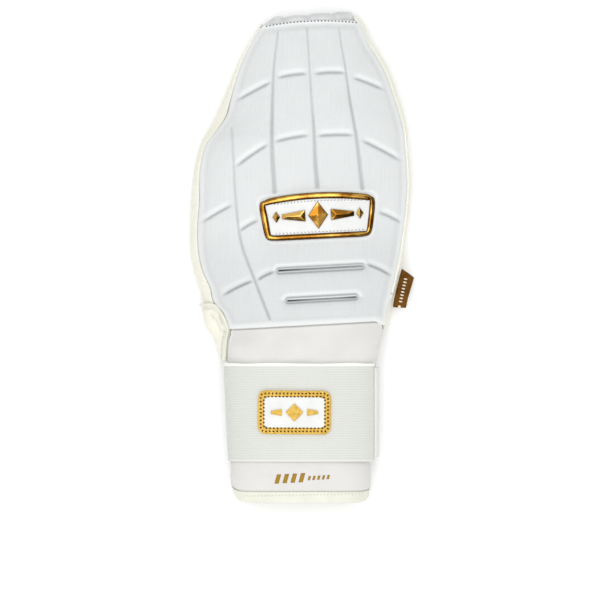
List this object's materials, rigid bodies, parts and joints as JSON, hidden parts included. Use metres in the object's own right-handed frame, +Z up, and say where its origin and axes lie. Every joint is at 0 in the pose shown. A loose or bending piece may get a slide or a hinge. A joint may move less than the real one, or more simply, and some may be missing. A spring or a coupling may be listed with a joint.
{
  "type": "sliding mitt",
  "caption": "Padded hand guard for sliding into a base, with quilted foam back, leather palm, wrist cuff and closing strap.",
  "frame": {"origin": "the middle of the flat palm face that the mitt lies on", "axes": "+Y towards the finger ends, +Z up through the padded back, +X to the right as seen from above"},
  "size_m": [0.1576, 0.3436, 0.0535],
  "materials": {
    "pad_knit": "fine ribbed knit over moulded foam, matt",
    "tip_cloth": "soft padded cloth, matt",
    "leather": "smooth fine-grained ivory leather, satin",
    "binding": "folded woven binding tape",
    "neoprene": "smooth jersey-faced foam, matt",
    "elastic": "ribbed woven elastic",
    "badge_white": "fine-textured moulded white",
    "gilt": "polished gilt plating",
    "gilt_thread": "gold thread embroidery",
    "tab_weave": "dense woven tape, brown"
  },
  "bodies": {
    "root": {"back_pad": "pad_knit", "tip_wrap": "tip_cloth", "palm_shell": "leather", "palm_heel": "leather", "heel_binding": "binding", "cuff": "neoprene", "cuff_hem": "binding", "strap": "elastic", "strap_tab": "elastic", "badge_plate": "badge_white", "badge_rim": "gilt", "badge_lozenge": "gilt", "badge_bar_left": "gilt", "badge_bar_right": "gilt", "badge_stud_left": "gilt", "badge_stud_right": "gilt", "wrist_badge_plate": "badge_white", "wrist_badge_frame": "gilt_thread", "wrist_badge_diamond": "gilt_thread", "wrist_badge_stripe_left": "gilt_thread", "wrist_badge_stripe_right": "gilt_thread", "side_tab": "tab_weave"}
  },
  "joints": []
}
